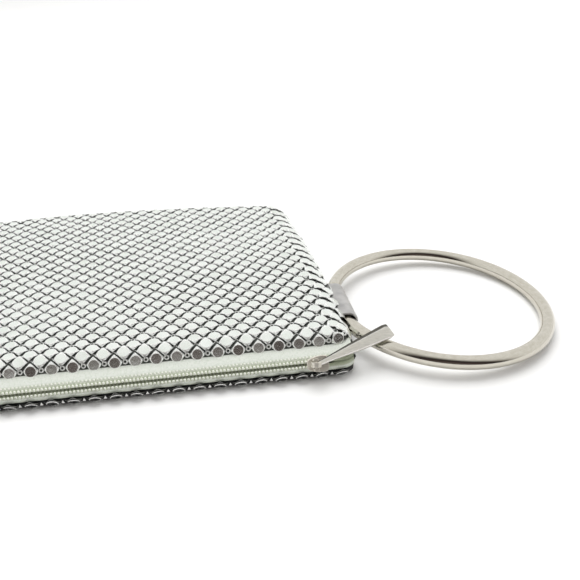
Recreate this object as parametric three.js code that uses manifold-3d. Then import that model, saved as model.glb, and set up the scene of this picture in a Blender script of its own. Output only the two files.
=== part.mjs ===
// Metal mesh purse lying flat: a hollow pouch of linked plates with a zip along its front edge, and a round ring
// handle in a folded strip at its right side. Millimetres, +Z up. The origin is on the underside, +X runs along the
// zip towards the ring handle, and +Y runs from the zip to the folded edge.
import * as THREE from 'three';
import { mergeVertices } from 'three/addons/utils/BufferGeometryUtils.js';
import Module from 'manifold-3d';

const wasm = await Module();
wasm.setup();

// Pouch
const POUCH_LENGTH = 193;
const POUCH_DEPTH = 121.5;
const POUCH_HEIGHT = 12;
const MESH_WALL = 1.2;
const SEAM_HEIGHT = 5;
const EDGE_ROLL = 7;
const FRONT_CORNER_RADIUS = 13;
const BACK_CORNER_RADIUS = 11;
const FOLD_BOW = 10;
const FOLD_BOW_POWER = 1.7;
const ZIP_LINE_Y = -58.4;

// Zip
const ZIP_HEIGHT = 5;
const ZIP_TILT = THREE.MathUtils.degToRad(32);
const ZIP_END_MARGIN = 8.5;
const TAPE_THICKNESS = 1;
const TAPE_GROOVE = 0.6;
const UPPER_TAPE_FLAT = 1.7;
const UPPER_TAPE_BEND_RADIUS = 4.6;
const UPPER_TAPE_BEND = THREE.MathUtils.degToRad(45);
const UPPER_TAPE_SHOW = 0.9;
const LOWER_TAPE_BEND_RADIUS = 0.9;
const TAPE_TAIL = 3.5;
const TAPE_STEPS = 9;
const COIL_WIDTH = 2;
const COIL_THICKNESS = 1;
const GAP = 0.3;

// Slider and pull
const SLIDER_LENGTH = 8.6;
const SLIDER_WIDTH = 5.6;
const SLIDER_INNER_WIDTH = 3.4;
const SLIDER_CORNER = 0.3;
const SLIDER_PLATE = 0.8;
const SLIDER_INNER_PLATE = 0.7;
const SLIDER_FROM_END = 5.5;
const POST_LENGTH = 1.6;
const POST_WIDTH = 1.4;
const PIN_RADIUS = 0.4;
const EAR_WALL = 0.6;
const EAR_LENGTH = 1.6;
const KNUCKLE_WIDTH = 1.6;
const KNUCKLE_WALL = 0.85;
const PULL_LENGTH = 26.7;
const PULL_ROOT_WIDTH = 1.4;
const PULL_TIP_WIDTH = 5;
const PULL_THICKNESS = 1;
const PULL_BEVEL = 0.25;
const PULL_TWIST = THREE.MathUtils.degToRad(25);
const PULL_REST_TURN = THREE.MathUtils.degToRad(221);

// Ring handle and its strip
const RING_RADIUS = 34.85;
const RING_TUBE_RADIUS = 2.2;
const RING_TILT = THREE.MathUtils.degToRad(3.2);
const RING_CENTRE_Y = -30;
const RING_BITE = 3.9;
const STRIP_WIDTH = 19.5;
const STRIP_THICKNESS = 1;
const STRIP_TAIL = 5;
const STRIP_FADE = 5;
const STRIP_SLACK = 0.45;

const half = POUCH_LENGTH / 2;
const foldY = ZIP_LINE_Y + POUCH_DEPTH;
const stripOuter = RING_TUBE_RADIUS + GAP + STRIP_THICKNESS;
const ringCentre = new THREE.Vector3(
  half - RING_BITE + stripOuter + RING_RADIUS * Math.cos(RING_TILT),
  RING_CENTRE_Y,
  RING_TUBE_RADIUS + RING_RADIUS * Math.sin(RING_TILT)
);
const stripLeft = half - RING_BITE;
const zipLength = POUCH_LENGTH - 2 * ZIP_END_MARGIN;
const sliderX = zipLength / 2 - SLIDER_FROM_END;
const zipMiddle = new THREE.Vector3(0, ZIP_LINE_Y, ZIP_HEIGHT);

const material = (color, roughness, metalness) =>
  new THREE.MeshStandardMaterial({ color, roughness, metalness });
const MESH_SILVER = material(0xdfe5df, 0.25, 1);
const TAPE_GREEN = material(0xcdd9c4, 0.85, 0);
const COIL_GREEN = material(0xb4c2a6, 0.5, 0);
const CAST_SILVER = material(0xd8d6cc, 0.3, 1);
const RING_NICKEL = material(0xd6d3ca, 0.18, 1);
const STRIP_SILVER = material(0xc4c2bc, 0.5, 0.4);

const model = new THREE.Group();

function addMesh(name, geometry, meshMaterial) {
  const mesh = new THREE.Mesh(geometry, meshMaterial);
  mesh.name = name;
  model.add(mesh);
  return mesh;
}

// Solids for joining and cutting
function welded(geometry) {
  const bare = geometry.clone();
  for (const name of Object.keys(bare.attributes)) {
    if (name !== 'position') bare.deleteAttribute(name);
  }
  return mergeVertices(bare, 1e-5);
}

function solidOf(geometry, matrix) {
  const merged = welded(geometry);
  if (matrix) merged.applyMatrix4(matrix);
  return new wasm.Manifold(new wasm.Mesh({
    numProp: 3,
    vertProperties: new Float32Array(merged.attributes.position.array),
    triVerts: new Uint32Array(merged.index.array),
  }));
}

function geometryOf(solid) {
  const mesh = solid.getMesh();
  const geometry = new THREE.BufferGeometry();
  geometry.setAttribute('position', new THREE.BufferAttribute(new Float32Array(mesh.vertProperties), 3));
  geometry.setIndex(new THREE.BufferAttribute(new Uint32Array(mesh.triVerts), 1));
  return geometry;
}

function facesGeometry(points, faces) {
  const geometry = new THREE.BufferGeometry();
  geometry.setAttribute('position', new THREE.Float32BufferAttribute(points.flat(), 3));
  geometry.setIndex(faces);
  return mergeVertices(geometry, 1e-5);
}

// A table read at a share, straight between its rows
function readTable(table, key, share) {
  const last = table.length - 1;
  if (share <= table[0].depth) return table[0][key];
  if (share >= table[last].depth) return table[last][key];
  const next = table.findIndex((row) => row.depth > share);
  const low = table[next - 1];
  const high = table[next];
  const part = (share - low.depth) / (high.depth - low.depth);
  const eased = part * part * (3 - 2 * part);
  return low[key] + (high[key] - low[key]) * eased;
}

// Pouch. Depth is the share of the way from the zip to the fold. Width is a share of half the pouch's length and
// height a share of the pouch's height.
const POUCH_LINES = [
  { depth: 0.0, width: 1.0, height: 0.99 },
  { depth: 0.16, width: 1.0, height: 1.0 },
  { depth: 0.42, width: 1.0, height: 0.96 },
  { depth: 0.62, width: 0.99, height: 0.91 },
  { depth: 0.8, width: 0.97, height: 0.86 },
  { depth: 1.0, width: 0.95, height: 0.8 },
];
// Shares of the edge roll, from the edge inwards
const EDGE_STEPS = [0, 0.06, 0.22, 0.52, 1];
// Shares of half the length, from the side inwards, between the corner and the middle
const ACROSS_STEPS = [0.25, 0.4, 0.6, 0.8];
const DEPTH_STEPS = 13;
const FRONT_RISE_DEPTH = 9;
const MOUTH_REACH = 8;
const LOWER_LIP_REACH = 0.4;
const LOWER_LIP_DEPTH = 3;
const LOWER_LIP_RISE = 0.3;

const quarter = (t) => Math.sqrt(1 - (1 - Math.min(Math.max(t, 0), 1)) ** 2);

// How far a rounded corner pulls its edge in, at a distance from the pouch's side
function cornerDrop(fromSide, radius) {
  return radius * (1 - quarter(fromSide / radius));
}

// Half width at a place, drawn in on the right where the ring's strip sits
function halfWidth(y, rightSide) {
  const depth = (y - ZIP_LINE_Y) / POUCH_DEPTH;
  const line = half * readTable(POUCH_LINES, 'width', depth);
  if (!rightSide) return line;
  const across = Math.abs(y - ringCentre.y);
  const clear = RING_RADIUS + RING_TUBE_RADIUS + GAP;
  const besideRing = across < clear ? ringCentre.x - Math.sqrt(clear ** 2 - across ** 2) : line;
  const past = Math.min(Math.max((across - STRIP_WIDTH / 2 - GAP) / STRIP_FADE, 0), 1);
  const besideStrip = stripLeft - GAP + (line - stripLeft + GAP) * past * past * (3 - 2 * past);
  return Math.min(line, besideRing, besideStrip);
}

// The upper tape's path in the Y-Z plane as a share of its length, from the groove to its tail
function upperTapePoint(share) {
  const bendLength = UPPER_TAPE_BEND_RADIUS * UPPER_TAPE_BEND;
  const total = UPPER_TAPE_FLAT + bendLength + TAPE_TAIL;
  const along = share * total;
  const flat = Math.min(along, UPPER_TAPE_FLAT);
  const turned = Math.min(Math.max(along - UPPER_TAPE_FLAT, 0) / UPPER_TAPE_BEND_RADIUS, UPPER_TAPE_BEND);
  const tail = Math.max(along - UPPER_TAPE_FLAT - bendLength, 0);
  const start = TAPE_GROOVE / 2;
  const tilt = ZIP_TILT + turned;
  const bendY = UPPER_TAPE_BEND_RADIUS * (Math.cos(ZIP_TILT) - Math.cos(tilt));
  const bendZ = UPPER_TAPE_BEND_RADIUS * (Math.sin(tilt) - Math.sin(ZIP_TILT));
  return {
    y: ZIP_LINE_Y + (start + flat) * Math.sin(ZIP_TILT) + bendY + tail * Math.sin(tilt),
    z: ZIP_HEIGHT + (start + flat) * Math.cos(ZIP_TILT) + bendZ + tail * Math.cos(tilt),
    tilt,
  };
}

// The lower tape's path, down from the groove and back over the lower wall. Its tail lies just over the wall.
const lowerTailHeight = MESH_WALL + LOWER_LIP_RISE + GAP + TAPE_THICKNESS / 2;
const lowerFlat = (ZIP_HEIGHT - lowerTailHeight - LOWER_TAPE_BEND_RADIUS * (1 + Math.sin(ZIP_TILT)))
  / Math.cos(ZIP_TILT) - TAPE_GROOVE / 2;

function lowerTapePoint(share) {
  const bend = Math.PI / 2 + ZIP_TILT;
  const bendLength = LOWER_TAPE_BEND_RADIUS * bend;
  const along = share * (lowerFlat + bendLength + TAPE_TAIL);
  const flat = Math.min(along, lowerFlat);
  const turned = Math.min(Math.max(along - lowerFlat, 0) / LOWER_TAPE_BEND_RADIUS, bend);
  const tail = Math.max(along - lowerFlat - bendLength, 0);
  const start = TAPE_GROOVE / 2;
  const turn = turned - ZIP_TILT;
  const bendY = LOWER_TAPE_BEND_RADIUS * (Math.cos(ZIP_TILT) - Math.cos(turn));
  const bendZ = LOWER_TAPE_BEND_RADIUS * (Math.sin(turn) + Math.sin(ZIP_TILT));
  return {
    y: ZIP_LINE_Y - (start + flat) * Math.sin(ZIP_TILT) + bendY + tail * Math.sin(turn),
    z: ZIP_HEIGHT - (start + flat) * Math.cos(ZIP_TILT) - bendZ - tail * Math.cos(turn),
    turn,
  };
}

const bendShare = (UPPER_TAPE_FLAT + UPPER_TAPE_BEND_RADIUS * UPPER_TAPE_BEND)
  / (UPPER_TAPE_FLAT + UPPER_TAPE_BEND_RADIUS * UPPER_TAPE_BEND + TAPE_TAIL);
const lip = upperTapePoint(bendShare * UPPER_TAPE_SHOW);
const lipUnderside = lip.z + TAPE_THICKNESS / 2 + GAP;
const lipTopY = lip.y;
const lipBottomY = ZIP_LINE_Y - LOWER_LIP_REACH;

// Height of the pouch's upper face in front of the side and fold rolls
function topHeight(y) {
  const depth = (y - ZIP_LINE_Y) / POUCH_DEPTH;
  const crown = POUCH_HEIGHT * readTable(POUCH_LINES, 'height', depth);
  const rise = quarter((y - lipTopY) / FRONT_RISE_DEPTH);
  const start = lipUnderside + MESH_WALL;
  return start + (crown - start) * rise;
}

function bottomRise(y) {
  const part = Math.min(Math.max(1 - (y - lipBottomY) / LOWER_LIP_DEPTH, 0), 1);
  return LOWER_LIP_RISE * part * part;
}

function acrossStations() {
  const rolled = EDGE_STEPS.map((step) => step * EDGE_ROLL / half);
  const fromSide = [...rolled, FRONT_CORNER_RADIUS / half, ...ACROSS_STEPS];
  return [...fromSide, 1, ...fromSide.slice().reverse().map((share) => 2 - share)];
}

function depthStations(depthLength) {
  const front = EDGE_STEPS.map((step) => step * FRONT_RISE_DEPTH / depthLength);
  const start = FRONT_RISE_DEPTH / depthLength;
  const end = 1 - EDGE_ROLL / depthLength;
  const middle = [];
  for (let i = 1; i < DEPTH_STEPS; i++) middle.push(start + (end - start) * i / DEPTH_STEPS);
  const sideFront = lipTopY + FRONT_CORNER_RADIUS;
  const sideDepth = foldY - FOLD_BOW - BACK_CORNER_RADIUS - sideFront;
  for (const reach of [STRIP_WIDTH / 2 + GAP, STRIP_WIDTH / 2 + STRIP_FADE]) {
    middle.push((ringCentre.y + reach - sideFront) / sideDepth, (ringCentre.y - reach - sideFront) / sideDepth);
  }
  const fold = EDGE_STEPS.slice().reverse().map((step) => 1 - step * EDGE_ROLL / depthLength);
  const inside = middle.filter((share) => share > start && share < end).sort((a, b) => a - b);
  return [...front, ...inside, ...fold];
}

// The closed pouch form, grown inwards by inset and forwards by reach for the hollow
function pouchForm(inset, reach) {
  const across = acrossStations();
  const along = depthStations(foldY - lipTopY);
  const points = [];
  const faces = [];
  const rows = along.length;
  const pointAt = (share, depth, upper) => {
    const side = share < 1 ? -1 : 1;
    const fromSide = (1 - Math.abs(share - 1)) * half;
    const roll = EDGE_ROLL - inset;
    const atSide = quarter(fromSide * (half - inset) / half / roll);
    const bowed = FOLD_BOW * Math.abs(share - 1) ** FOLD_BOW_POWER;
    const back = foldY - inset - bowed - cornerDrop(fromSide, BACK_CORNER_RADIUS);
    const lead = upper ? 0 : (lipTopY - lipBottomY) * atSide;
    const front = lipTopY - reach - lead + cornerDrop(fromSide, FRONT_CORNER_RADIUS);
    const y = front + (back - front) * depth;
    const atFold = quarter((back - y) / roll);
    const rounding = atSide * atFold;
    const x = side * (halfWidth(y, side > 0) - inset) * Math.abs(share - 1);
    const top = topHeight(y) - inset;
    const bottom = bottomRise(y) + inset;
    const level = upper ? top : bottom;
    return [x, y, SEAM_HEIGHT + (level - SEAM_HEIGHT) * rounding];
  };
  for (const upper of [true, false]) {
    for (const share of across) {
      for (const depth of along) points.push(pointAt(share, depth, upper));
    }
  }
  const below = across.length * rows;
  const at = (i, j) => i * rows + j;
  for (let i = 0; i + 1 < across.length; i++) {
    for (let j = 0; j + 1 < rows; j++) {
      const [a, b, c, d] = [at(i, j), at(i + 1, j), at(i + 1, j + 1), at(i, j + 1)];
      faces.push(a, b, c, a, c, d);
      faces.push(below + a, below + c, below + b, below + a, below + d, below + c);
    }
    const [left, right] = [at(i, 0), at(i + 1, 0)];
    faces.push(left, below + left, below + right, left, below + right, right);
  }
  return closed(facesGeometry(points, faces));
}

// Drops the faces that shrank to nothing where the edges meet
function closed(geometry) {
  const index = geometry.index.array;
  const kept = [];
  for (let i = 0; i < index.length; i += 3) {
    const [a, b, c] = [index[i], index[i + 1], index[i + 2]];
    if (a !== b && b !== c && c !== a) kept.push(a, b, c);
  }
  geometry.setIndex(kept);
  return geometry;
}

// Zip tapes, coil, slider and pull
function stripAlongX(path, thickness, length, steps) {
  const outline = [];
  for (let i = 0; i <= steps; i++) outline.push(path(i / steps, thickness / 2));
  for (let i = steps; i >= 0; i--) outline.push(path(i / steps, -thickness / 2));
  const shape = new THREE.Shape(outline.map(([y, z]) => new THREE.Vector2(y, z)));
  const geometry = new THREE.ExtrudeGeometry(shape, { depth: length, bevelEnabled: false });
  // The shape's x and y become the part's Y and Z, and the extrusion runs along X
  const turn = new THREE.Matrix4().set(0, 0, 1, -length / 2, 1, 0, 0, 0, 0, 1, 0, 0, 0, 0, 0, 1);
  geometry.applyMatrix4(turn);
  return geometry;
}

const upperTapePath = (share, out) => {
  const p = upperTapePoint(share);
  return [p.y - out * Math.cos(p.tilt), p.z + out * Math.sin(p.tilt)];
};
const lowerTapePath = (share, out) => {
  const p = lowerTapePoint(share);
  return [p.y - out * Math.cos(p.turn), p.z - out * Math.sin(p.turn)];
};

// Boxes in the zip's own frame: X along the zip, "up" along the tapes, "out" away from the pouch
const zipFrame = new THREE.Matrix4().makeBasis(
  new THREE.Vector3(1, 0, 0),
  new THREE.Vector3(0, Math.sin(ZIP_TILT), Math.cos(ZIP_TILT)),
  new THREE.Vector3(0, -Math.cos(ZIP_TILT), Math.sin(ZIP_TILT))
).setPosition(zipMiddle);

function zipBox(x, up, out) {
  const geometry = new THREE.BoxGeometry(x[1] - x[0], up[1] - up[0], out[1] - out[0]);
  geometry.translate((x[0] + x[1]) / 2, (up[0] + up[1]) / 2, (out[0] + out[1]) / 2);
  return geometry;
}

function zipPlate(width, length, corner, outLow, outHigh, centreX) {
  const shape = new THREE.Shape();
  const [w, l] = [width / 2, length / 2];
  shape.moveTo(-l + corner, -w);
  shape.lineTo(l - corner, -w);
  shape.absarc(l - corner, -w + corner, corner, -Math.PI / 2, 0);
  shape.absarc(l - corner, w - corner, corner, 0, Math.PI / 2);
  shape.absarc(-l + corner, w - corner, corner, Math.PI / 2, Math.PI);
  shape.absarc(-l + corner, -w + corner, corner, Math.PI, Math.PI * 1.5);
  const geometry = new THREE.ExtrudeGeometry(shape, {
    depth: outHigh - outLow, bevelEnabled: false, curveSegments: 4,
  });
  geometry.translate(centreX, 0, outLow);
  return geometry;
}

const coilOut = -(TAPE_THICKNESS / 2 + GAP);
const coilIn = coilOut - COIL_THICKNESS;
const plateLow = TAPE_THICKNESS / 2 + GAP;
const plateHigh = plateLow + SLIDER_PLATE;
const innerHigh = coilIn - GAP;
const innerLow = innerHigh - SLIDER_INNER_PLATE;
const sliderRight = sliderX + SLIDER_LENGTH / 2;
const postX = [sliderRight - POST_LENGTH - SLIDER_PLATE, sliderRight - SLIDER_PLATE];
const knuckleBore = PIN_RADIUS + GAP;
const knuckleRadius = knuckleBore + KNUCKLE_WALL;
const pinOut = plateHigh + knuckleRadius + GAP;

// A round bar along the "up" direction of the zip's frame
function zipRod(radius, length) {
  const geometry = new THREE.CylinderGeometry(radius, radius, length, 16);
  geometry.translate(sliderX, 0, pinOut);
  return geometry;
}

function sliderGeometry() {
  const outer = zipPlate(SLIDER_WIDTH, SLIDER_LENGTH, SLIDER_WIDTH * SLIDER_CORNER, plateLow, plateHigh, sliderX);
  const inner = zipPlate(
    SLIDER_INNER_WIDTH, SLIDER_LENGTH, SLIDER_INNER_WIDTH * SLIDER_CORNER, innerLow, innerHigh, sliderX
  );
  const bite = SLIDER_INNER_PLATE / 2;
  const post = zipBox(postX, [-POST_WIDTH / 2, POST_WIDTH / 2], [innerHigh - bite, plateLow + bite]);
  let slider = solidOf(outer).add(solidOf(inner)).add(solidOf(post));
  const earX = [sliderX - EAR_LENGTH / 2, sliderX + EAR_LENGTH / 2];
  const earIn = KNUCKLE_WIDTH / 2 + GAP;
  const earTop = pinOut + PIN_RADIUS + GAP;
  slider = slider.add(solidOf(zipBox(earX, [earIn, earIn + EAR_WALL], [plateHigh - bite, earTop])));
  slider = slider.add(solidOf(zipBox(earX, [-earIn - EAR_WALL, -earIn], [plateHigh - bite, earTop])));
  slider = slider.add(solidOf(zipRod(PIN_RADIUS, KNUCKLE_WIDTH + 2 * GAP + EAR_WALL)));
  return geometryOf(slider);
}

// What the tapes leave free round the slider's post
function postClearance() {
  return solidOf(zipBox(
    [postX[0] - GAP, postX[1] + GAP],
    [-POST_WIDTH / 2 - GAP, POST_WIDTH / 2 + GAP],
    [innerLow, plateHigh]
  ), zipFrame);
}

// What the lower tape leaves free under the slider's inner plate
function innerPlateClearance() {
  return solidOf(zipBox(
    [sliderX - SLIDER_LENGTH / 2 - GAP, sliderRight + GAP],
    [-SLIDER_INNER_WIDTH / 2 - 2 * GAP, SLIDER_INNER_WIDTH / 2 + 2 * GAP],
    [innerLow - 2 * GAP, innerHigh + GAP]
  ), zipFrame);
}

// The pull runs from its pin to a rest on the ring handle
const ringAcross = new THREE.Vector3(Math.cos(RING_TILT), 0, -Math.sin(RING_TILT));
const ringUp = new THREE.Vector3(Math.sin(RING_TILT), 0, Math.cos(RING_TILT));
const pivot = new THREE.Vector3(sliderX, 0, pinOut).applyMatrix4(zipFrame);
const pullLean = PULL_THICKNESS / 2 + PULL_TIP_WIDTH / 2 * Math.sin(PULL_TWIST);
const pullRest = ringCentre.clone()
  .addScaledVector(ringAcross, RING_RADIUS * Math.cos(PULL_REST_TURN))
  .add(new THREE.Vector3(0, RING_RADIUS * Math.sin(PULL_REST_TURN), 0))
  .addScaledVector(ringUp, RING_TUBE_RADIUS + GAP + pullLean);
const pullAlong = pullRest.clone().sub(pivot).normalize();
const pullFrame = new THREE.Matrix4();
{
  const level = new THREE.Vector3(0, 0, 1).cross(pullAlong).normalize();
  level.applyAxisAngle(pullAlong, PULL_TWIST);
  const face = pullAlong.clone().cross(level);
  pullFrame.makeBasis(pullAlong, level, face).setPosition(pivot);
}

// Shares of the pull's length, width and thickness from its root to its bevelled tip
const PULL_SECTIONS = [
  { along: 0.032, width: 0.28, thickness: 0.6 },
  { along: 0.18, width: 0.38, thickness: 0.7 },
  { along: 0.6, width: 0.78, thickness: 1.0 },
  { along: 0.95, width: 1.0, thickness: 1.0 },
  { along: 1.0, width: 0.9, thickness: 0.5 },
];

function pullBar() {
  const rings = PULL_SECTIONS.map(({ along, width, thickness }) => {
    const x = along * PULL_LENGTH;
    const w = Math.max(width * PULL_TIP_WIDTH, PULL_ROOT_WIDTH) / 2;
    const t = thickness * PULL_THICKNESS / 2;
    const edge = t * PULL_BEVEL;
    return [
      [x, -w, -t], [x, w, -t], [x, w, edge], [x, w - t + edge, t], [x, -w + t - edge, t], [x, -w, edge],
    ];
  });
  return loft(rings);
}

// A closed solid through rings of points that run the same way round
function loft(rings) {
  const points = rings.flat();
  const count = rings[0].length;
  const faces = [];
  for (let i = 0; i + 1 < rings.length; i++) {
    for (let j = 0; j < count; j++) {
      const next = (j + 1) % count;
      const [a, b] = [i * count + j, i * count + next];
      faces.push(a, b, b + count, a, b + count, a + count);
    }
  }
  const last = (rings.length - 1) * count;
  for (let j = 1; j + 1 < count; j++) {
    faces.push(0, j + 1, j);
    faces.push(last, last + j, last + j + 1);
  }
  return facesGeometry(points, faces);
}

function pullGeometry() {
  const knuckle = solidOf(zipRod(knuckleRadius, KNUCKLE_WIDTH), zipFrame);
  const bore = solidOf(zipRod(knuckleBore, KNUCKLE_WIDTH + 2 * GAP), zipFrame);
  const bar = solidOf(pullBar(), pullFrame);
  return geometryOf(knuckle.add(bar).subtract(bore));
}

// Ring handle and the strip folded round it, in the ring's own tilted frame
const ringFrame = new THREE.Matrix4().makeBasis(
  ringAcross, new THREE.Vector3(0, 1, 0), ringUp
).setPosition(ringCentre);

function extrudeAcross(shape, width) {
  const geometry = new THREE.ExtrudeGeometry(shape, { depth: width, bevelEnabled: false, curveSegments: 6 });
  // The shape's x and y become X and Z, and the extrusion runs along Y
  geometry.applyMatrix4(new THREE.Matrix4().set(1, 0, 0, 0, 0, 0, -1, width / 2, 0, 1, 0, 0, 0, 0, 0, 1));
  return geometry;
}

function roundEnded(left, right, radius) {
  const shape = new THREE.Shape();
  shape.moveTo(left + radius, -radius);
  shape.lineTo(right - radius, -radius);
  shape.absarc(right - radius, 0, radius, -Math.PI / 2, Math.PI / 2);
  shape.lineTo(left + radius, radius);
  shape.absarc(left + radius, 0, radius, Math.PI / 2, Math.PI * 1.5);
  return shape;
}

const tubeRoom = RING_TUBE_RADIUS + GAP;
const roomLeft = -RING_RADIUS - tubeRoom;
const roomRight = -Math.sqrt((RING_RADIUS - RING_TUBE_RADIUS) ** 2 - (STRIP_WIDTH / 2) ** 2) + STRIP_SLACK;

function tailBox(margin) {
  const geometry = new THREE.BoxGeometry(
    STRIP_TAIL + STRIP_THICKNESS / 2 + margin, STRIP_WIDTH + 2 * margin, 2 * (STRIP_THICKNESS + margin)
  );
  geometry.translate(roomLeft - (STRIP_TAIL + STRIP_THICKNESS / 2 + margin) / 2 - STRIP_THICKNESS / 4, 0, 0);
  return solidOf(geometry, ringFrame);
}

// The outside of the folded strip, grown by a margin
function foldedStrip(margin) {
  const grown = STRIP_THICKNESS + margin;
  const outside = roundEnded(roomLeft - grown, roomRight + grown, tubeRoom + grown);
  return solidOf(extrudeAcross(outside, STRIP_WIDTH + 2 * margin), ringFrame);
}

function stripGeometry() {
  const room = roundEnded(roomLeft, roomRight, tubeRoom);
  const fold = foldedStrip(0);
  const hollow = solidOf(extrudeAcross(room, STRIP_WIDTH + 2), ringFrame);
  return geometryOf(fold.add(tailBox(0)).subtract(hollow));
}

function ringGeometry() {
  return new THREE.TorusGeometry(RING_RADIUS, RING_TUBE_RADIUS, 12, 64);
}

// Assembly
const outerForm = solidOf(pouchForm(0, 0));
const mouthRoom = new THREE.BoxGeometry(zipLength + 2 * GAP, POUCH_DEPTH, POUCH_HEIGHT * 3);
mouthRoom.translate(0, lipTopY + MOUTH_REACH - POUCH_DEPTH / 2, 0);
const mouth = solidOf(pouchForm(MESH_WALL, MOUTH_REACH)).intersect(solidOf(mouthRoom));
const hollowForm = solidOf(pouchForm(MESH_WALL, -MESH_WALL)).add(mouth);
const pouch = outerForm.subtract(hollowForm).subtract(tailBox(GAP)).subtract(foldedStrip(GAP));
addMesh('mesh_body', geometryOf(pouch), MESH_SILVER);

const upperTape = solidOf(stripAlongX(upperTapePath, TAPE_THICKNESS, zipLength, TAPE_STEPS));
const lowerTape = solidOf(stripAlongX(lowerTapePath, TAPE_THICKNESS, zipLength, TAPE_STEPS));
addMesh('zip_tape_upper', geometryOf(upperTape.subtract(postClearance())), TAPE_GREEN);
addMesh(
  'zip_tape_lower',
  geometryOf(lowerTape.subtract(postClearance()).subtract(innerPlateClearance())),
  TAPE_GREEN
);

const coil = addMesh(
  'zip_coil',
  zipBox([-zipLength / 2, postX[0] - GAP], [-COIL_WIDTH / 2, COIL_WIDTH / 2], [coilIn, coilOut]),
  COIL_GREEN
);
coil.applyMatrix4(zipFrame);
const slider = addMesh('zip_slider', sliderGeometry(), CAST_SILVER);
slider.applyMatrix4(zipFrame);
addMesh('zip_pull', pullGeometry(), CAST_SILVER);
addMesh('ring_tab', stripGeometry(), STRIP_SILVER);
const ring = addMesh('ring_handle', ringGeometry(), RING_NICKEL);
ring.applyMatrix4(ringFrame);

export default model;
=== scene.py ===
# Looks of the metal mesh purse: linked round plates over a dark lining, a woven zip, a polished ring handle
# in a folded strip, and a tapered zip pull. Lengths named here are millimetres in the CAD part's frame.
import math

import bpy
import numpy as np
from mathutils import Matrix, Vector

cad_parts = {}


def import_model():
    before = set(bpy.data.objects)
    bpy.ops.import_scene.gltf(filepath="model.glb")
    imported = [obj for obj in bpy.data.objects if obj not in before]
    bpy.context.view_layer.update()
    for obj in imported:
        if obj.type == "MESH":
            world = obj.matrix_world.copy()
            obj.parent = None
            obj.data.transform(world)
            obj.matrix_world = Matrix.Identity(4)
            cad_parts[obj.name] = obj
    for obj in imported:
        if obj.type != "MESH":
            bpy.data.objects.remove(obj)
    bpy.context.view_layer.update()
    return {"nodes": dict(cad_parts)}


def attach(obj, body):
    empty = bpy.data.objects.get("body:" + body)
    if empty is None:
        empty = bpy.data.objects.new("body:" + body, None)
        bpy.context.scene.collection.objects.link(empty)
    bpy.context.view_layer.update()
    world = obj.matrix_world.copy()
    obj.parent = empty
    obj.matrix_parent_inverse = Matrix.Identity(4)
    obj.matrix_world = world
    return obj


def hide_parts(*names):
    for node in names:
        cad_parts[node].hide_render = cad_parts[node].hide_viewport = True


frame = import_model()

MM = 0.001
SEED = 11

# Pouch, as in the part's source, but with tighter front corners
LENGTH = 193.0
DEPTH = 121.5
HEIGHT = 12.0
SEAM = 5.0
ROLL = 7.0
FRONT_CORNER = 6.0
BACK_CORNER = 11.0
FOLD_BOW = 10.0
FOLD_BOW_POWER = 1.7
ZIP_Y = -58.4
ZIP_Z = 5.0
ZIP_TILT = math.radians(32)
ZIP_LENGTH = 176.0
GAP = 0.3
ROLL_MIDDLE_Y = -49.4
FRONT_ROLL = 4.5
LIP_REACH = 0.4
LIP_DEPTH = 3.0
LIP_RISE = 0.3
LINE_DEPTHS = (0.0, 0.16, 0.42, 0.62, 0.8, 1.0)
LINE_WIDTHS = (1.0, 1.0, 1.0, 0.99, 0.97, 0.95)
LINE_HEIGHTS = (0.99, 1.0, 0.96, 0.91, 0.86, 0.8)

# Upper flap that rides up beside the strip
FLAP_X = 96.0
FLAP_Z = 8.2
FLAP_FADE = 4.0

# Samples of the pouch's faces, which crowd towards the rolled edges
EDGE_SAMPLES = 24
ACROSS_SAMPLES = 90
DEPTH_SAMPLES = 70
SIDE_BAND = 0.12
FOLD_BAND = 0.1
LINING_INSET = 0.85

# Tapes. Each lean is a distance from the groove and an angle from upright in degrees
TAPE = 0.6
TAPE_GROOVE = 0.7
TAPE_WIDTH = 8.5
TAPE_END = 95.0
TAPE_STEPS = 28
TAPE_SEGMENTS = 120
UPPER_LEANS = ((0, 48), (1.6, 52), (3.2, 70), (9, 76))
LOWER_LEANS = ((0, 34), (0.9, 30), (2.3, -70), (3.0, -92), (9, -92))
UPPER_TAPE_WIDTH = 7.5
LOWER_TAPE_WIDTH = 4.5
END_CROWDING = 1.6
SHUT_DEPTH = 0.6
SHUT_SHARE = 0.46
STITCH_PITCH = 1.1
# Name, place from the groove, half sizes, start along the zip and slant
UPPER_STITCHES = (
    ("stitches_upper", 0.4, (0.42, 0.5, 0.34), 0.0, 0.25),
    ("stitches_upper_far", 1.6, (0.36, 0.42, 0.22), 0.55, 0.25),
)
LOWER_STITCHES = (("stitches_lower", 0.4, (0.42, 0.45, 0.34), 0.3, -0.25),)

# Ring handle and strip. STRIP is the thickness that sets the ring's place, STRIP_SEEN the one that shows
RING_RADIUS = 34.85
TUBE_RADIUS = 2.2
RING_TURNS = 240
RING_SIDES = 28
RING_TILT = math.radians(3.2)
RING_Y = -30.0
RING_BITE = 3.9
STRIP_WIDTH = 19.5
STRIP = 1.0
STRIP_SEEN = 0.8
STRIP_BEVEL = 0.22
STRIP_PAST_TUBE = 0.45
STRIP_TURN_STEPS = 18

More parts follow.
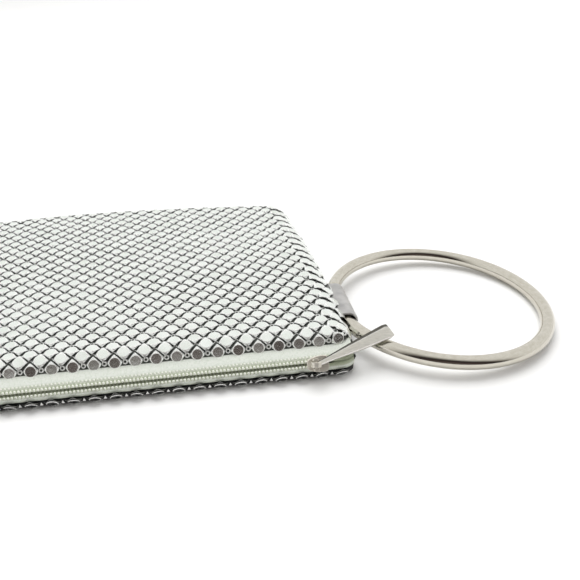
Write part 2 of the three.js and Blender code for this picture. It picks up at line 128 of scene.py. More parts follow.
# Slider and pull. Levels pair a height over the groove with a share or an inset
SLIDER_X = 82.5
PIN_OUT = 3.45
PIN_RADIUS = 0.38
PIN_REACH = 1.4
PIN_SIDES = 14
PLATE_LOW = 1.1
EAR_HALF_LENGTH = 0.8
EAR_WIDTH = 0.6
EAR_SIDES = (1.1, -1.7)
EAR_LEVELS = ((PLATE_LOW + 0.6, 0), (PIN_OUT + 0.35, 0), (PIN_OUT + 0.65, 0.25))
SLIDER_LEVELS = ((0.96, PLATE_LOW), (1.0, PLATE_LOW + 0.2), (1.0, PLATE_LOW + 0.5), (0.93, PLATE_LOW + 0.8))
SLIDER_EDGE = [
    (-2.3, -0.9), (-1.9, -1.5), (-1.0, -1.95), (0.4, -2.3),
    (2.4, -2.5), (3.6, -2.3), (4.1, -1.7), (4.25, -0.8),
]
PULL_REST_TURN = math.radians(221)
PULL_TWIST = math.radians(25)
PULL_LENGTH = 26.7
PULL_TIP_WIDTH = 5.0
PULL_ROOT_WIDTH = 1.4
PULL_THICKNESS = 1.0
PULL_BEVEL = 1.15
PULL_BEVEL_DROP = 0.62
PULL_RIDGE = 0.1
PULL_RIDGE_RISE = 0.02
PULL_EDGE = 0.12
# Share of the pull's length, of its tip's width and of its thickness
PULL_SECTIONS = (
    (0.032, 0.28, 0.6), (0.18, 0.38, 0.7), (0.4, 0.6, 0.9),
    (0.6, 0.78, 1.0), (0.95, 1.0, 1.0), (1.0, 0.88, 0.45),
)
# Sides of the pull's section with painted shade (slot 1) and a painted highlight (slot 2), by their place in
# it
PULL_SLOTS = {3: 1, 4: 2, 6: 2}
# Distance from the pin's middle, and place along the pin's height
KNUCKLE_SECTION = ((0.7, -0.8), (1.42, -0.8), (1.55, -0.68), (1.55, 0.68), (1.42, 0.8), (0.7, 0.8))
KNUCKLE_TURNS = 28

# Mesh plates and links
PLATE_PITCH = 6.08
ROW_PITCH = 3.1
ROW_SHEAR = 0.228
ROW_PHASE = -1.0
FACE_RADIUS = 1.56
FACE_CROWN = 0.02
RIM_RADIUS = 1.8
RIM_DROP = 0.13
PLATE_SIDE = 1.82
PLATE_CORNER = 2.45
SIDE_DROP = 0.3
CORNER_SLOPE = 0.5
PLATE_THICK = 0.22
PLATE_TAPER = 0.08
PLATE_SEGMENTS = 16
LINK_RADIUS = 0.62
LINK_WIRE = 0.24
LINK_TURNS = 8
LINK_SIDES = 5
LINK_DEPTH = 1.0
FIRST_LINK_DEPTH = 0.4
UPPER_FIRST_ROW = 1.85
LOWER_FIRST_ROW = 0.9
FRONT_ROWS = 4
SLOPE_REACH = 0.8
SEAM_CLEAR = 0.8
WOBBLE = 0.02

# Slow rise of the upper face's middle rows towards the right
ROW_RISE = 0.06
ROW_RISE_AT = 52.0
ROW_RISE_SPAN = 28.0
ROW_RISE_X = 35.0
ROW_RISE_REACH = 45.0

# Nod of the upper face's first row
NOD = 0.04
NOD_MEAN = 0.02
NOD_AT_CORNER = -0.16
NOD_CORNER_X = 80.0
NOD_CORNER_REACH = 4.0

# Row round the sides and the fold
EDGE_PITCH = 4.4
EDGE_START = 0.02
EDGE_POINTS = 400
EDGE_STRIP_CLEAR = 2.0

# Lower face's first row, the links between its plates, and the band behind it
HEM_LEAN = math.radians(125)
HEM_Y = -59.9
HEM_Z = 1.5
HEM_PHASE = -0.4
HEM_HALF_COUNT = 16
HEM_END_CLEAR = 1.0
HEM_SLOPE_REACH = 0.3
HEM_WOBBLE = 0.05
HEM_LINK_OFFSET = (0, 0.1, 0.45)
HEM_PROFILE = (
    (-58.0, 0.35), (-58.7, 0.5), (-58.9, 1.4), (-58.9, 2.4),
    (-58.3, 3.2), (-57.9, 3.2), (-58.3, 2.3), (-57.9, 0.8),
)

# Bump heights of the materials, in metres
FINE_BUMP = 0.0001
WEAVE_BUMP = 0.00015

# Tones of the tapes' threads, from their gaps to their tops
CLOTH_TONES = ((0.3, (0.52, 0.60, 0.46)), (0.65, (0.80, 0.87, 0.76)), (1.0, (0.94, 0.96, 0.91)))

# Height where the tapes' bands of painted shade start, the height they span, and the shade's tone at shares
# of it
BAND_LOW = 3.0
BAND_SPAN = 4.0
TAPE_SHADE_BANDS = (
    (0.10, (0.84, 0.86, 0.80)),
    (0.24, (1.0, 1.0, 1.0)),
    (0.31, (0.72, 0.74, 0.64)),
    (0.37, (0.60, 0.63, 0.50)),
    (0.50, (0.42, 0.45, 0.33)),
    (0.57, (0.48, 0.51, 0.39)),
    (0.63, (0.70, 0.73, 0.60)),
    (0.735, (0.52, 0.55, 0.42)),
    (0.80, (0.84, 0.86, 0.78)),
    (0.88, (0.74, 0.77, 0.68)),
    (0.96, (1.0, 1.0, 1.0)),
)

# Camera, light and studio. The dome's radius and the light's place and size are in metres
SENSOR_WIDTH = 36.0
LENS = 41.0
CAMERA_SHIFT = (0.0948, 0.0069)
CAMERA_CLIP = 0.01
CAMERA_PLACE = (47.17, -212.61, 123.85)
CAMERA_RIGHT = (0.9928, -0.1112, -0.0454)
CAMERA_FORWARD = (0.0724, 0.8559, -0.5121)
FLOOR_HALF = 25000.0
FLOOR_DROP = 0.1
KEY_PLACE = (0.1, 0.35, 0.8)
KEY_TARGET = (0.02, 0, 0)
KEY_SIZE = 0.7
KEY_POWER = 4.5
DOME = 29.0
DOME_RINGS = 24
DOME_SIDES = 48
DOME_LOW = -1.0
DOME_RISE = 90.5
DOME_TONES = (
    (0.05, (0.20, 0.18, 0.17)),
    (0.15, (0.11, 0.09, 0.085)),
    (0.26, (0.045, 0.032, 0.032)),
    (0.37, (0.045, 0.038, 0.036)),
    (0.44, (0.22, 0.21, 0.20)),
    (0.53, (0.60, 0.59, 0.57)),
    (0.66, (0.92, 0.92, 0.90)),
    (0.78, (1.0, 1.0, 0.99)),
)

half = LENGTH / 2
fold_y = ZIP_Y + DEPTH
lip_top_y = ROLL_MIDDLE_Y - FRONT_ROLL
lip_bottom_y = ZIP_Y - LIP_REACH
strip_left = half - RING_BITE
ring_centre = np.array([
    strip_left + TUBE_RADIUS + GAP + STRIP + RING_RADIUS * math.cos(RING_TILT),
    RING_Y,
    TUBE_RADIUS + RING_RADIUS * math.sin(RING_TILT),
])
ring_across = np.array([math.cos(RING_TILT), 0, -math.sin(RING_TILT)])
ring_up = np.array([math.sin(RING_TILT), 0, math.cos(RING_TILT)])
zip_up = np.array([0, math.sin(ZIP_TILT), math.cos(ZIP_TILT)])
zip_out = np.array([0, -math.cos(ZIP_TILT), math.sin(ZIP_TILT)])


# Pouch form
def smooth_step(t):
    return t * t * (3 - 2 * t)


def quarter(t):
    """The height of a quarter circle, from 0 at its start to 1."""
    return np.sqrt(1 - (1 - np.clip(t, 0, 1)) ** 2)


def unit(v):
    return v / np.maximum(np.linalg.norm(v, axis=-1, keepdims=True), 1e-9)


def eased(values, depth):
    """The values at LINE_DEPTHS, joined by smooth steps."""
    depth = np.clip(depth, 0, 1)
    at = np.clip(np.searchsorted(LINE_DEPTHS, depth, side="right") - 1, 0, len(LINE_DEPTHS) - 2)
    low, high = np.take(LINE_DEPTHS, at), np.take(LINE_DEPTHS, at + 1)
    part = smooth_step((depth - low) / (high - low))
    return np.take(values, at) * (1 - part) + np.take(values, at + 1) * part


def top_height(y):
    crown = HEIGHT * eased(LINE_HEIGHTS, (y - ZIP_Y) / DEPTH)
    return crown - FRONT_ROLL * (1 - quarter((y - lip_top_y) / FRONT_ROLL))


def bottom_rise(y):
    part = np.clip(1 - (y - lip_bottom_y) / LIP_DEPTH, 0, 1)
    return LIP_RISE * part * part


def strip_nearness(y):
    """1 beside the strip, fading to 0 away from it."""
    return 1 - smooth_step(np.clip((np.abs(y - RING_Y) - STRIP_WIDTH / 2 - GAP) / FLAP_FADE, 0, 1))


def half_width(y, right, upper):
    """Half the pouch's width, with the right side drawn in where the ring and the strip pass."""
    line = half * eased(LINE_WIDTHS, (y - ZIP_Y) / DEPTH)
    across = np.abs(y - RING_Y)
    clear = RING_RADIUS + TUBE_RADIUS + GAP
    inside = np.sqrt(np.maximum(clear ** 2 - across ** 2, 0))
    beside_ring = np.where(across < clear, ring_centre[0] - inside, line)
    if upper:
        notched = np.minimum(line, np.maximum(beside_ring, FLAP_X))
    else:
        beside_strip = strip_left - GAP + (line - strip_left + GAP) * (1 - strip_nearness(y))
        notched = np.minimum(line, np.minimum(beside_ring, beside_strip))
    return np.where(right, notched, line)


def corner_drop(from_side, radius):
    return radius * (1 - quarter(from_side / radius))


def front_drop(x):
    return corner_drop(half - np.abs(x), FRONT_CORNER)


def end_crowded(reach, count):
    """Places along the zip that crowd towards the two rounded corners."""
    even = np.linspace(-1, 1, count)
    return reach * np.sign(even) * (1 - (1 - np.abs(even)) ** END_CROWDING)


def pouch_point(share, depth, upper, inset=0.0):
    """A place on the pouch: share runs from 0 at the left to 2, depth from 0 at the zip to 1 at the fold."""
    off = np.abs(share - 1)
    from_side = (1 - off) * half
    roll = ROLL - inset
    at_side = quarter(from_side * (half - inset) / half / roll)
    back = fold_y - inset - FOLD_BOW * off ** FOLD_BOW_POWER - corner_drop(from_side, BACK_CORNER)
    lead = 0 if upper else (lip_top_y - lip_bottom_y) * at_side
    front = lip_top_y - lead + corner_drop(from_side, FRONT_CORNER)
    y = front + (back - front) * depth
    at_fold = quarter((back - y) / roll)
    right = share > 1
    x = np.sign(share - 1) * (half_width(y, right, upper) - inset) * off
    level = top_height(y) - inset if upper else bottom_rise(y) + inset
    seam = SEAM
    if upper:
        outer_quarter = np.clip(off * 4 - 3, 0, 1)
        seam = SEAM + (FLAP_Z - SEAM) * np.where(right, strip_nearness(y), 0) * outer_quarter
    z = seam + (level - seam) * at_side * at_fold
    return np.stack([x, y, z], axis=-1)


def crowded_samples(first_band, last_band, count, end):
    """Samples from 0 to end, with finer steps in the bands at both ends."""
    fine = 1 - np.cos(np.linspace(0, math.pi / 2, EDGE_SAMPLES))
    even = np.linspace(first_band, end - last_band, count)[1:-1]
    return np.concatenate([fine * first_band, even, end - (fine * last_band)[::-1]])


def surface(upper, inset=0.0):
    """One face of the pouch as a grid of points, across by depth."""
    shares = crowded_samples(SIDE_BAND, SIDE_BAND, ACROSS_SAMPLES, 2)
    depths = crowded_samples(SIDE_BAND, FOLD_BAND, DEPTH_SAMPLES, 1)
    share, depth = np.meshgrid(shares, depths, indexing="ij")
    return pouch_point(share, depth, upper, inset)


def surface_normals(points, upper):
    normal = unit(np.cross(np.gradient(points, axis=0), np.gradient(points, axis=1)))
    return normal if upper else -normal


def run_length(points):
    """How far along their path the points lie."""
    return np.concatenate([[0], np.cumsum(np.linalg.norm(np.diff(points, axis=0), axis=1))])


def sampled(at, length, values):
    """The values at distances along a path, from the values at its points."""
    return np.stack([np.interp(at, length, values[:, k]) for k in range(3)], axis=-1)


def tape_path(leans, away):
    """A tape's place and lean at a distance from the groove, from the leans it passes through."""
    fine = np.linspace(0, TAPE_WIDTH, 400)
    lean = np.interp(fine, [lean[0] for lean in leans], [math.radians(lean[1]) for lean in leans])

    def run(parts):
        return away * (TAPE_GROOVE / 2 * parts[0] + np.concatenate([[0], np.cumsum(parts[1:] * fine[1])]))
    y = ZIP_Y + run(np.sin(lean))
    z = ZIP_Z + run(np.cos(lean))

    def at(along):
        return np.interp(along, fine, y), np.interp(along, fine, z), np.interp(along, fine, lean)
    return at


upper_tape = tape_path(UPPER_LEANS, 1)
lower_tape = tape_path(LOWER_LEANS, -1)


# Making meshes from arrays, in millimetres
def make_mesh(name, points, faces, materials, slots=None, smooth=False, count=1):
    """A piece in one mesh. With a count, the points are those of that many copies of one form, in turn."""
    points = np.asarray(points, float).reshape(-1, 3) * MM
    sizes = np.tile(np.array([len(face) for face in faces], np.int32), count)
    corners = np.concatenate([np.asarray(face, np.int32) for face in faces])
    shifts = np.arange(count)[:, None] * (len(points) // count)
    corners = (corners[None, :] + shifts).ravel().astype(np.int32)
    starts = np.concatenate([[0], np.cumsum(sizes)[:-1]]).astype(np.int32)
    mesh = bpy.data.meshes.new(name)
    mesh.vertices.add(len(points))
    mesh.vertices.foreach_set("co", points.ravel())
    mesh.loops.add(len(corners))
    mesh.loops.foreach_set("vertex_index", corners)
    mesh.polygons.add(len(sizes))
    mesh.polygons.foreach_set("loop_start", starts)
    for material in materials:
        mesh.materials.append(material)
    mesh.update(calc_edges=True)
    if slots is not None:
        mesh.polygons.foreach_set("material_index", np.tile(np.asarray(slots, np.int32), count))
    mesh.polygons.foreach_set("use_smooth", np.full(len(mesh.polygons), smooth))
    mesh.validate()
    piece = bpy.data.objects.new(name, mesh)
    bpy.context.scene.collection.objects.link(piece)
    return piece


def copies(name, template, centres, frames, materials, smooth=False):
    """Many copies of one small form in a single mesh. frames holds each copy's three axes as rows."""
    points, faces, slots = template
    placed = np.einsum("vk,nkj->nvj", np.asarray(points, float), frames) + centres[:, None, :]
    return make_mesh(name, placed, faces, materials, slots, smooth, len(centres))


def shifted(faces, start):
    return [tuple(start + i for i in face) for face in faces]


def grid_faces(rows, columns, closed=(False, False), flip=False):
    """Quads between neighbours in a grid. closed says whether the rows and the columns run in a loop."""
    faces = []
    for i in range(rows if closed[0] else rows - 1):
        for j in range(columns if closed[1] else columns - 1):
            m, k = (i + 1) % rows, (j + 1) % columns
            first, *others = (i * columns + j, m * columns + j, m * columns + k, i * columns + k)
            faces.append((first, *(others[::-1] if flip else others)))
    return faces


def tube_faces(rows, columns, flip=False):
    """A closed tube of rows of points, with its two end caps."""
    near = tuple(range(columns))
    far = tuple(range((rows - 1) * columns, rows * columns))
    caps = [near[::-1], far] if flip else [near, far[::-1]]
    return grid_faces(rows, columns, (False, True), flip) + caps


def crowned_faces(rings, sides):
    """Rings of points below one top point."""
    fan = [(0, 1 + k, 1 + (k + 1) % sides) for k in range(sides)]
    return fan + shifted(grid_faces(rings, sides, (False, True)), 1)


def torus(radius, wire, turns, sides):
    """A ring of round wire."""
    points = []
    for i in range(turns):
        turn = 2 * math.pi * i / turns
        for k in range(sides):
            around = 2 * math.pi * k / sides
            reach = radius + wire * math.cos(around)
            points.append((reach * math.cos(turn), reach * math.sin(turn), wire * math.sin(around)))
    return points, grid_faces(turns, sides, (True, True))


# Materials
def new_material(name, color, roughness, metallic=0.0):
    material = bpy.data.materials.new(name)
    material.use_nodes = True
    tree = material.node_tree
    shader = tree.nodes["Principled BSDF"]
    shader.inputs["Base Color"].default_value = (*color, 1)
    shader.inputs["Roughness"].default_value = roughness
    shader.inputs["Metallic"].default_value = metallic
    return material, tree, shader


def node(tree, kind, **values):
    made = tree.nodes.new(kind)
    for key, value in values.items():
        if key in made.inputs:
            made.inputs[key].default_value = value
        else:
            setattr(made, key, value)
    return made


def term(tree, operation, *values):
    made = node(tree, "ShaderNodeMath", operation=operation)
    for socket, value in zip(made.inputs, values):
        if isinstance(value, (int, float)):
            socket.default_value = value
        else:
            tree.links.new(value, socket)
    return made.outputs[0]


def object_coords(tree, scale=(1, 1, 1), rotation=(0, 0, 0)):
    coords = node(tree, "ShaderNodeTexCoord")
    mapping = node(tree, "ShaderNodeMapping", Scale=scale, Rotation=rotation)
    tree.links.new(coords.outputs["Object"], mapping.inputs["Vector"])
    return mapping.outputs["Vector"]


def noise(tree, vector, scale, detail=3.0, rough=0.5):
    made = node(tree, "ShaderNodeTexNoise", Scale=scale, Detail=detail, Roughness=rough)
    tree.links.new(vector, made.inputs["Vector"])
    return made.outputs["Fac"]


def stripes(tree, vector, scale, distortion):
    made = node(tree, "ShaderNodeTexWave", Scale=scale, Distortion=distortion, Detail=2.0)
    made.bands_direction = "X"
    tree.links.new(vector, made.inputs["Vector"])
    return made.outputs["Fac"]


def ramp(tree, factor, stops):
    made = node(tree, "ShaderNodeValToRGB")
    elements = made.color_ramp.elements
    while len(elements) < len(stops):
        elements.new(0.5)
    for element, (position, color) in zip(elements, stops):
        element.position = position
        element.color = (*color, 1)
    tree.links.new(factor, made.inputs["Fac"])
    return made.outputs["Color"]


def paint(tree, shader, socket, factor, stops):
    tree.links.new(ramp(tree, factor, stops), shader.inputs[socket])


def grey(value):
    return (value, value, value)


def bump(tree, shader, height, strength, distance=FINE_BUMP):
    made = node(tree, "ShaderNodeBump", Strength=strength, Distance=distance)
    tree.links.new(height, made.inputs["Height"])
    tree.links.new(made.outputs["Normal"], shader.inputs["Normal"])


def plate_material():
    material, tree, shader = new_material("plate_silver", (0.86, 0.88, 0.86), 0.2, 1.0)
    patches = noise(tree, object_coords(tree), 160, 2.0)
    paint(tree, shader, "Base Color", patches, [(0.3, (0.80, 0.84, 0.79)), (0.7, (0.90, 0.925, 0.895))])
    scratches = noise(tree, object_coords(tree, (1, 6, 1), (0, 0, 0.6)), 900, 4.0, 0.6)
    paint(tree, shader, "Roughness", scratches, [(0.3, grey(0.16)), (0.75, grey(0.3))])
    bump(tree, shader, scratches, 0.08)
    return material


def rim_material(name, color, rough_low, rough_high, metallic):
    material, tree, shader = new_material(name, color, rough_low, metallic)
    worn = noise(tree, object_coords(tree), 1200)
    paint(tree, shader, "Roughness", worn, [(0.35, grey(rough_low)), (0.7, grey(rough_high))])
    return material


def link_material():
    # Half-matte links, so they show white between the plates: partly a painted highlight
    material, tree, shader = new_material("link_silver_highlight", (0.9, 0.9, 0.88), 0.3, 0.6)
    worn = noise(tree, object_coords(tree), 700)
    paint(tree, shader, "Base Color", worn, [(0.3, (0.74, 0.75, 0.73)), (0.7, (0.95, 0.95, 0.93))])
    return material


def lining_and_gap_shade_material():
    # Near-black lining, partly its own dark cloth and partly painted shade in the gaps between the plates
    material, tree, shader = new_material("lining_and_gap_shade", (0.02, 0.022, 0.022), 0.75)
    weave = noise(tree, object_coords(tree), 2400, 2.0)
    paint(tree, shader, "Base Color", weave, [(0.3, (0.03, 0.033, 0.03)), (0.75, (0.085, 0.092, 0.08))])
    bump(tree, shader, weave, 0.3)
    return material


def tape_material():
    """Fine pale green threads, darkened by height in long bands of painted shade beside the groove and
    between the stitch rows.
    """
    material, tree, shader = new_material("zip_cloth", (0.72, 0.78, 0.68), 0.8)
    shader.inputs["Sheen Weight"].default_value = 0.25
    shader.inputs["Sheen Roughness"].default_value = 0.5
    vector = object_coords(tree)
    weave = term(tree, "ADD", stripes(tree, vector, 900, 1.2), noise(tree, vector, 1800))
    cloth = ramp(tree, weave, CLOTH_TONES)
    split = node(tree, "ShaderNodeSeparateXYZ")
    tree.links.new(vector, split.inputs["Vector"])
    level = term(tree, "MULTIPLY_ADD", split.outputs["Z"], 1 / (BAND_SPAN * MM), -BAND_LOW / BAND_SPAN)
    # Painted shade: olive bands by height along the groove and between the stitch rows
    band_shade = node(tree, "ShaderNodeMix", data_type="RGBA", blend_type="MULTIPLY")
    band_shade.inputs[0].default_value = 1.0
    tree.links.new(cloth, band_shade.inputs[6])
    tree.links.new(ramp(tree, level, TAPE_SHADE_BANDS), band_shade.inputs[7])
    tree.links.new(band_shade.outputs[2], shader.inputs["Base Color"])
    bump(tree, shader, weave, 0.5, WEAVE_BUMP)
    return material


def stitch_material():
    material, tree, shader = new_material("zip_thread", (0.94, 0.96, 0.86), 0.6)
    strands = noise(tree, object_coords(tree, (1, 3, 3)), 2200, 2.0)
    paint(tree, shader, "Base Color", strands, [(0.3, (0.80, 0.83, 0.72)), (0.7, (0.96, 0.97, 0.91))])
    bump(tree, shader, strands, 0.4)
    return material


def coil_material():
    # The coil's green is painted lighter than its own, as painted light against the shade deep in the groove
    material, tree, shader = new_material("zip_coil_painted_light", (0.22, 0.25, 0.15), 0.55)
    turns = stripes(tree, object_coords(tree), 300, 0.2)
    paint(tree, shader, "Base Color", turns, [(0.2, (0.56, 0.60, 0.46)), (0.8, (0.86, 0.90, 0.76))])
    return material


def brushed_material(name, low, high, rough_low, rough_high, metallic, stretch=(1, 5, 5)):
    material, tree, shader = new_material(name, high, rough_low, metallic)
    lines = noise(tree, object_coords(tree, stretch), 500, 4.0, 0.6)
    paint(tree, shader, "Base Color", lines, [(0.3, low), (0.7, high)])
    paint(tree, shader, "Roughness", lines, [(0.3, grey(rough_low)), (0.75, grey(rough_high))])
    return material


def strip_material():
    material, tree, shader = new_material("strip_leather", (0.55, 0.54, 0.53), 0.36, 0.8)
    vector = object_coords(tree)
    cells = node(tree, "ShaderNodeTexVoronoi", Scale=1400)
    tree.links.new(vector, cells.inputs["Vector"])
    patches = noise(tree, vector, 300, 4.0)
    paint(tree, shader, "Base Color", patches, [(0.3, (0.37, 0.365, 0.36)), (0.7, (0.56, 0.55, 0.54))])
    paint(tree, shader, "Roughness", patches, [(0.3, grey(0.28)), (0.7, grey(0.42))])
    bump(tree, shader, cells.outputs["Distance"], 0.25)
    return material


PLATE = plate_material()
# Half-matte near-white rims, so they show bright from every side: partly a painted highlight
RIM_HIGHLIGHT = rim_material("plate_rim_highlight", (0.93, 0.93, 0.91), 0.2, 0.4, 0.45)
# Corners made part matte so they show light between the plates: partly a painted highlight
CORNER_HIGHLIGHT = rim_material("plate_corner_highlight", (0.86, 0.88, 0.86), 0.2, 0.4, 0.7)
# Dark metal on the plates' thin outer edges: painted shade that draws dark lines between the plates
EDGE_SHADE = rim_material("plate_edge_shade", (0.22, 0.22, 0.21), 0.3, 0.5, 0.8)
# Near-black painted shade for the gap under the lower tape
HEM_GAP_SHADE = rim_material("hem_shade", (0.012, 0.012, 0.012), 0.6, 0.8, 0.0)
# Dark hem faces: painted shade for the shadowed floor that they mirror
HEM_SHADE_FACE = rim_material("plate_hem_face_shade", (0.055, 0.055, 0.055), 0.3, 0.5, 0.8)
LINK_HIGHLIGHT = link_material()
LINING_AND_GAP_SHADE = lining_and_gap_shade_material()
CLOTH = tape_material()
THREAD = stitch_material()
COIL_PAINTED_LIGHT = coil_material()
CAST = brushed_material("cast_cream", (0.70, 0.66, 0.58), (0.86, 0.82, 0.74), 0.3, 0.42, 0.55)
NICKEL = brushed_material("ring_nickel", (0.56, 0.53, 0.46), (0.65, 0.62, 0.55), 0.08, 0.16, 1.0, (1, 1, 6))
STRIP_LEATHER = strip_material()
PULL_FACE = brushed_material("pull_satin", (0.49, 0.475, 0.43), (0.66, 0.64, 0.585), 0.3, 0.42, 0.85)
# Painted shade on the pull's far bevel, and a painted highlight on two of its edges
PULL_BEVEL_SHADE = brushed_material("pull_bevel_painted_shade", (0.05, 0.05, 0.04), (0.14, 0.13, 0.11), 0.25, 0.4, 0.9)
PULL_EDGE_HIGHLIGHT = brushed_material("pull_edge_painted_highlight", (0.85, 0.83, 0.8), (0.95, 0.93, 0.9), 0.12, 0.2, 0.6)


def dress(piece, body, slot, *nodes):
    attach(piece, body)
    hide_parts(*nodes)


# Mesh plates and lining
def plate_template():
    """A round raised face in a bright rim, with four corners that bend down to the links. The rim's
    brightness is partly a painted highlight.
    """
    angles = np.arange(PLATE_SEGMENTS) * 2 * math.pi / PLATE_SEGMENTS
    outline = PLATE_SIDE / (np.abs(np.cos(angles)) + np.abs(np.sin(angles))) * math.sqrt(2)
    outline = np.minimum(outline, PLATE_CORNER)
    drop = SIDE_DROP + (outline - PLATE_SIDE) * CORNER_SLOPE

    def ring(radius, z):
        height = z + np.zeros(PLATE_SEGMENTS)
        return np.stack([radius * np.cos(angles), radius * np.sin(angles), height], axis=-1)
    rings = [
        ring(FACE_RADIUS, 0),
        ring(RIM_RADIUS, -RIM_DROP),
        ring(outline, -drop),
        ring(outline - PLATE_TAPER, -drop - PLATE_THICK),
    ]
    points = np.concatenate([[[0, 0, FACE_CROWN]], *rings])
    return points, crowned_faces(len(rings), PLATE_SEGMENTS), np.repeat(range(len(rings)), PLATE_SEGMENTS)


def link_template():
    points, faces = torus(LINK_RADIUS, LINK_WIRE, LINK_TURNS, LINK_SIDES)
    return points, faces, [0] * len(faces)


def corner_template():
    """The small pointed corner of the plate behind, between two of the first row."""
    points = [
        (-0.5, -0.5, 0), (0.5, -0.5, 0), (0, 0.6, 0.1),
        (-0.4, -0.4, -0.25), (0.4, -0.4, -0.25), (0, 0.45, -0.15),
    ]
    faces = [(0, 1, 2), (5, 4, 3), (3, 4, 1, 0), (4, 5, 2, 1), (5, 3, 0, 2)]
    return points, faces, [0] * len(faces)


def lattice(points, normals, upper, first_row):
    """Place, normal, direction along the row and row number of each plate, and of each link, on one face."""
    run = np.array([run_length(column) for column in points])
    start = np.maximum(points[:, 0, 1] - (lip_top_y if upper else lip_bottom_y), 0)
    along_x = points[:, len(points[0]) // 2, 0]
    rise = ROW_RISE_REACH * np.tanh((along_x - ROW_RISE_X) / ROW_RISE_REACH)
    middle = len(points) // 2
    plates, links = [], []
    row = 0
    while first_row + row * ROW_PITCH < run[middle, -1]:
        level = first_row + row * ROW_PITCH
        slope = ROW_RISE * math.exp(-((level - ROW_RISE_AT) / ROW_RISE_SPAN) ** 2) if upper else 0.0
        deep = level + slope * rise - start * min(1.0, row / FRONT_ROWS)
        on_face = (deep >= 0) & (run[:, -1] >= deep)
        low = high = middle
        while low > 0 and on_face[low - 1]:
            low -= 1
        while high < len(points) - 1 and on_face[high + 1]:
            high += 1
        place = np.array([sampled(deep[m], run[m], points[m]) for m in range(low, high + 1)])
        normal = np.array([sampled(deep[m], run[m], normals[m]) for m in range(low, high + 1)])
        length = run_length(place)
        length -= length[middle - low]
        for offset, into in ((0.0, plates), (PLATE_PITCH / 2, links)):
            phase = (PLATE_PITCH / 2 if row % 2 else 0.0) + offset + ROW_PHASE - ROW_SHEAR * row
            first = math.ceil((length[0] - phase) / PLATE_PITCH)
            last = math.floor((length[-1] - phase) / PLATE_PITCH)
            a = phase + PLATE_PITCH * np.arange(first, last + 1)
            along = sampled(a + SLOPE_REACH, length, place) - sampled(a - SLOPE_REACH, length, place)
            up = unit(sampled(a, length, normal))
            rows = np.full((len(a), 1), row)
            into.append(np.concatenate([sampled(a, length, place), up, along, rows], axis=1))
        row += 1
    return np.concatenate(plates), np.concatenate(links)


def frames_from(normal, along):
    e1 = unit(along - normal * np.sum(along * normal, axis=1, keepdims=True))
    return np.stack([e1, np.cross(normal, e1), normal], axis=1)


def wobble(frames, rng, amount):
    turn = rng.normal(0, amount, (len(frames), 2))
    normal = unit(frames[:, 2] + frames[:, 0] * turn[:, :1] + frames[:, 1] * turn[:, 1:])
    return frames_from(normal, frames[:, 0])


def nod_first_row(frames, plates, rng):
    """The first row hangs by its links, so its discs nod a little, by turns up and down."""
    odd = np.round(plates[:, 0] / PLATE_PITCH).astype(int) % 2
    turn = NOD_MEAN + np.where(odd, -NOD, NOD) + rng.normal(0, NOD / 3, len(plates))
    turn += NOD_AT_CORNER * np.clip((plates[:, 0] - NOD_CORNER_X) / NOD_CORNER_REACH, 0, 1)
    turn = np.where(plates[:, 9] == 0, turn, 0)
    normal = unit(frames[:, 2] + frames[:, 1] * turn[:, None])
    return frames_from(normal, frames[:, 0])


def mesh_face(upper, first_row, rng):
    """The plates of one face of the pouch, and the links under them."""
    points = surface(upper)
    both = lattice(points, surface_normals(points, upper), upper, first_row)
    plates, links = (rows[np.abs(rows[:, 2] - SEAM) > SEAM_CLEAR] for rows in both)
    frames = wobble(frames_from(plates[:, 3:6], plates[:, 6:9]), rng, WOBBLE)
    if upper:
        frames = nod_first_row(frames, plates, rng)
    name = "upper" if upper else "lower"
    piece = copies("plates_" + name, plate_template(), plates[:, :3], frames, [PLATE, RIM_HIGHLIGHT, CORNER_HIGHLIGHT, EDGE_SHADE])
    dress(piece, "purse", "mesh", "mesh_body")
    depth = np.where(links[:, 9:10] == 0, FIRST_LINK_DEPTH, LINK_DEPTH)
    centres = links[:, :3] - links[:, 3:6] * depth
    frames = frames_from(links[:, 3:6], links[:, 6:9])
    piece = copies("links_" + name, link_template(), centres, frames, [LINK_HIGHLIGHT], True)
    dress(piece, "purse", "mesh", "mesh_body")


def edge_plates(rng):
    """One row of plates round the sides and the fold, where the two faces meet."""
    depths = np.linspace(EDGE_START, 1, EDGE_POINTS)
    ends = np.ones(EDGE_POINTS)
    path = np.concatenate([
        pouch_point(0 * ends, depths, False),
        pouch_point(np.linspace(0, 2, EDGE_POINTS), ends, False),
        pouch_point(2 * ends, depths[::-1], False),
    ])
    length = run_length(path)
    a = np.arange(EDGE_PITCH / 2, length[-1], EDGE_PITCH)
    places = sampled(a, length, path)
    along = unit(sampled(a + 1, length, path) - sampled(a - 1, length, path))
    out = np.cross(np.array([0, 0, 1.0]), along)
    places[:, 2] = SEAM
    near_strip = np.abs(places[:, 1] - RING_Y) < STRIP_WIDTH / 2 + EDGE_STRIP_CLEAR
    keep = (places[:, 0] <= 0) | ~near_strip
    frames = wobble(frames_from(out[keep], along[keep]), rng, WOBBLE)
    piece = copies("plates_edge", plate_template(), places[keep], frames, [PLATE, RIM_HIGHLIGHT, CORNER_HIGHLIGHT, EDGE_SHADE])
    dress(piece, "purse", "mesh", "mesh_body")


